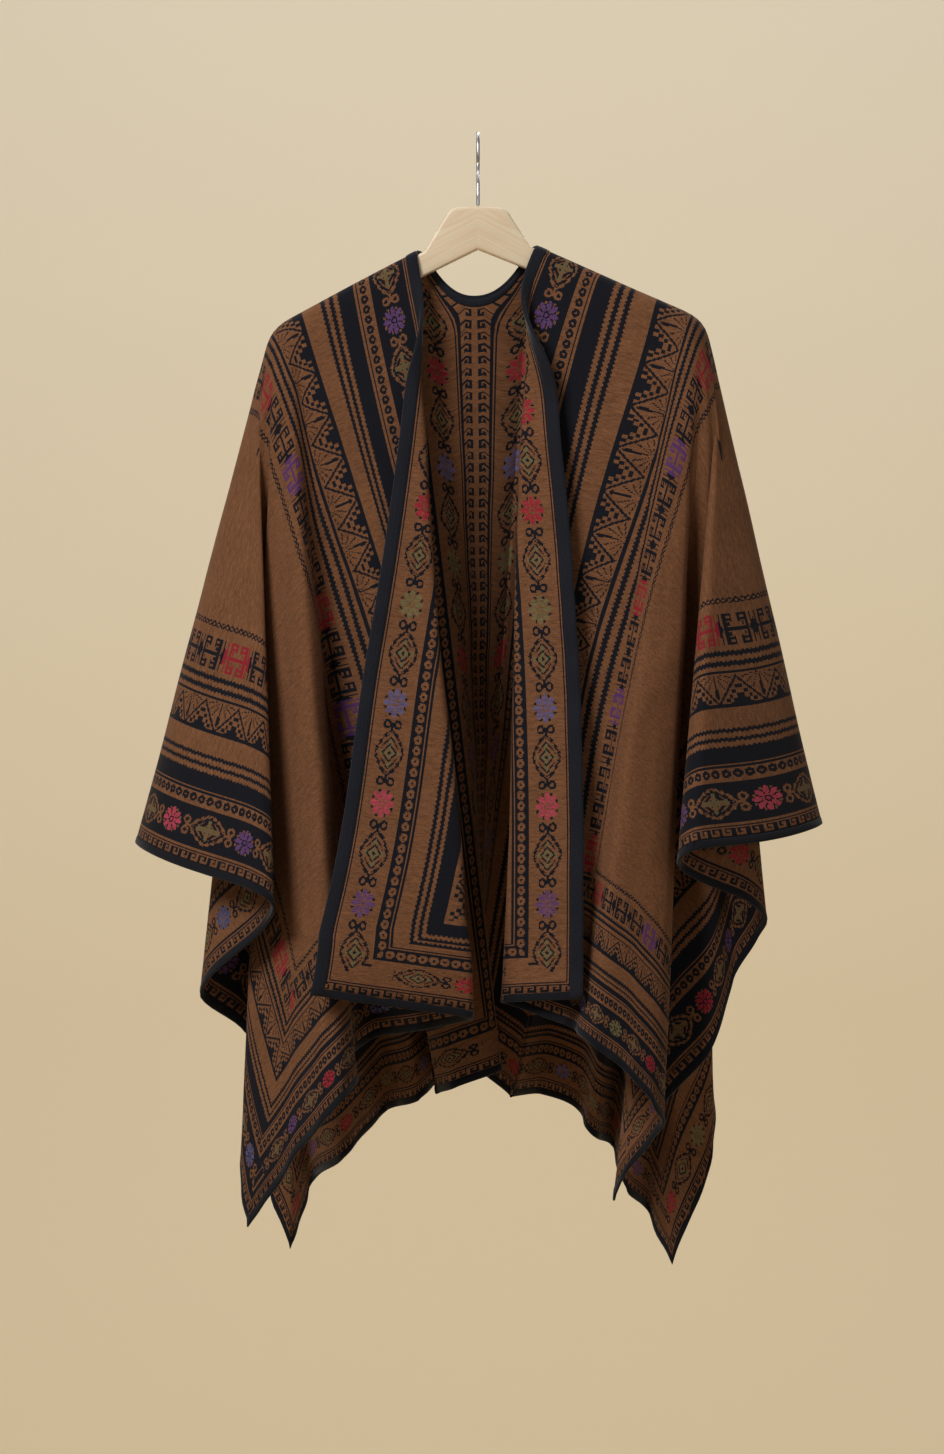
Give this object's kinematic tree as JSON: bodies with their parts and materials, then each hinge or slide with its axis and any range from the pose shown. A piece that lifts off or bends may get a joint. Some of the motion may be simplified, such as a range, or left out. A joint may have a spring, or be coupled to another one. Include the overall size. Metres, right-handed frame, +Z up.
{
  "type": "cape on a wooden hanger",
  "caption": "Open-front blanket cape with turned-back lapels and pointed hem corners, hung on a wooden hanger with a wire hook.",
  "frame": {"origin": "the seat of the hook, on top of the rail that holds it", "axes": "+Z up, +X towards the right of someone who looks at the open front, +Y towards the back of the cape"},
  "size_m": [0.69, 0.3284, 1.1529],
  "materials": {
    "jacquard_cloth": "soft double-faced jacquard, matt with a light nap",
    "rib_binding": "matt rib knit",
    "dark_edging": "matt woven tape",
    "hanger_wood": "pale wood under satin lacquer",
    "hook_chrome": "polished"
  },
  "bodies": {
    "root": {"cloth_front_left": "jacquard_cloth", "cloth_front_right": "jacquard_cloth", "cloth_back": "jacquard_cloth", "binding_front_left": "rib_binding", "binding_front_right": "rib_binding", "binding_neck": "rib_binding", "edging_front_left": "dark_edging", "edging_front_right": "dark_edging", "edging_back": "dark_edging", "hanger_arm_left": "hanger_wood", "hanger_arm_right": "hanger_wood", "hanger_hook": "hook_chrome"}
  },
  "joints": []
}
